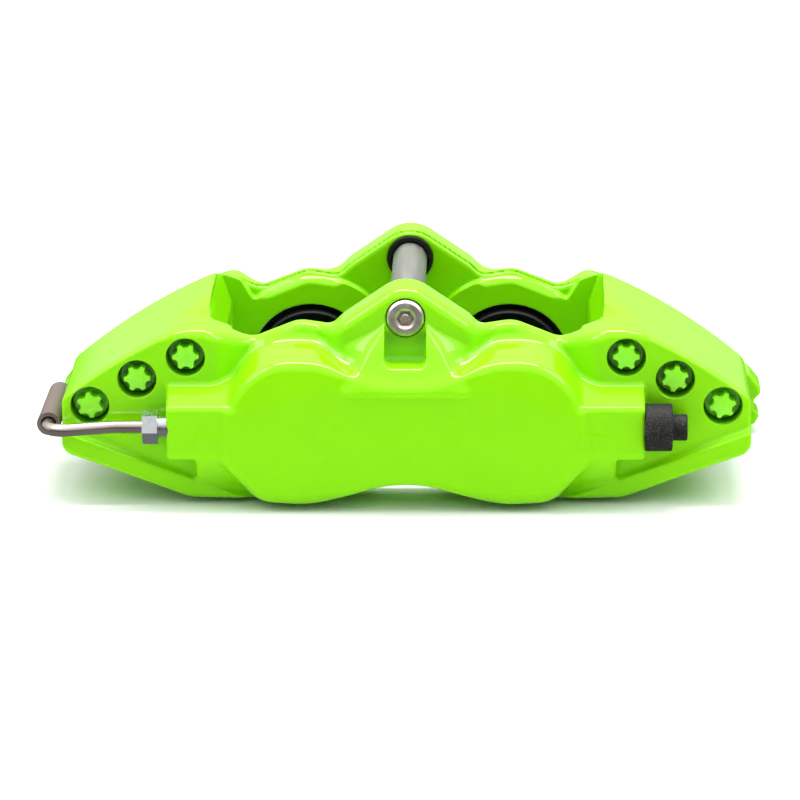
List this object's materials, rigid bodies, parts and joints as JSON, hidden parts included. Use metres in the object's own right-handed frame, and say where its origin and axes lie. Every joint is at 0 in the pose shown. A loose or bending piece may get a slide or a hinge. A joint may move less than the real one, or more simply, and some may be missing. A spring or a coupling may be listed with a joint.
{
  "type": "brake caliper",
  "caption": "Fixed opposed-piston disc brake caliper in two bolted cast halves, with pad pin, crossover pipe and bleed screws.",
  "frame": {"origin": "midway between the two mounting holes, on the face that bolts to the upright", "axes": "+X along the caliper towards the bleed screws, +Y away from the wheel along the mounting holes, +Z away from the axle"},
  "size_m": [0.2717, 0.1301, 0.0819],
  "materials": {
    "green_paint": "gloss",
    "green_bolt": "gloss",
    "nickel": "polished",
    "satin_steel": "satin",
    "pipe_steel": "satin",
    "zinc": "zinc plated",
    "black_anodised": "black anodised",
    "black_rubber": "matte",
    "cap_rubber": "dusty matte",
    "taupe_rubber": "matte"
  },
  "bodies": {
    "caliper": {"outboard_body": "green_paint", "inboard_body": "green_paint", "bridge_bolts_left": "green_bolt", "bridge_bolts_right": "green_bolt", "pad_pin_bush": "black_rubber", "crossover_pipe": "pipe_steel", "pipe_nut_outboard": "zinc", "pipe_nut_inboard": "zinc", "pipe_sleeve": "taupe_rubber", "piston_seal_outboard_left": "black_rubber", "piston_seal_outboard_right": "black_rubber", "piston_seal_inboard_left": "black_rubber", "piston_seal_inboard_right": "black_rubber", "dust_boot_outboard_left": "black_rubber", "dust_boot_outboard_right": "black_rubber", "dust_boot_inboard_left": "black_rubber", "dust_boot_inboard_right": "black_rubber"},
    "piston_outboard_left": {"piston_outboard_left": "black_anodised"},
    "piston_outboard_right": {"piston_outboard_right": "black_anodised"},
    "piston_inboard_left": {"piston_inboard_left": "black_anodised"},
    "piston_inboard_right": {"piston_inboard_right": "black_anodised"},
    "pad_pin": {"pad_pin_bolt": "nickel", "pad_pin_sleeve": "satin_steel"},
    "bleed_screw_outboard": {"bleed_screw_outboard": "zinc"},
    "bleed_cap_outboard": {"bleed_cap_outboard": "cap_rubber"},
    "bleed_screw_inboard": {"bleed_screw_inboard": "zinc"},
    "bleed_cap_inboard": {"bleed_cap_inboard": "cap_rubber"}
  },
  "joints": [
    {"name": "piston_outboard_left_slide", "type": "slide", "parent": "caliper", "child": "piston_outboard_left", "axis": [0, 1, 0], "range_m": [0, 0.012], "deforming": ["dust_boot_outboard_left"]},
    {"name": "piston_outboard_right_slide", "type": "slide", "parent": "caliper", "child": "piston_outboard_right", "axis": [0, 1, 0], "range_m": [0, 0.012], "deforming": ["dust_boot_outboard_right"]},
    {"name": "piston_inboard_left_slide", "type": "slide", "parent": "caliper", "child": "piston_inboard_left", "axis": [0, -1, 0], "range_m": [0, 0.012], "deforming": ["dust_boot_inboard_left"]},
    {"name": "piston_inboard_right_slide", "type": "slide", "parent": "caliper", "child": "piston_inboard_right", "axis": [0, -1, 0], "range_m": [0, 0.012], "deforming": ["dust_boot_inboard_right"]},
    {"name": "pad_pin_withdraw", "type": "slide", "parent": "caliper", "child": "pad_pin", "axis": [0, -1, 0], "range_m": [0, 0.12]},
    {"name": "bleed_screw_outboard_turn", "type": "hinge", "parent": "caliper", "child": "bleed_screw_outboard", "pos_m": [0.08, -0.1058, 0.0173], "axis": [1, 0, 0], "range_deg": [0, 360]},
    {"name": "bleed_cap_outboard_pull", "type": "slide", "parent": "caliper", "child": "bleed_cap_outboard", "axis": [1, 0, 0], "range_m": [0, 0.018]},
    {"name": "bleed_screw_inboard_turn", "type": "hinge", "parent": "caliper", "child": "bleed_screw_inboard", "pos_m": [0.08, 0.0068, 0.0173], "axis": [1, 0, 0], "range_deg": [0, 360]},
    {"name": "bleed_cap_inboard_pull", "type": "slide", "parent": "caliper", "child": "bleed_cap_inboard", "axis": [1, 0, 0], "range_m": [0, 0.018]}
  ]
}
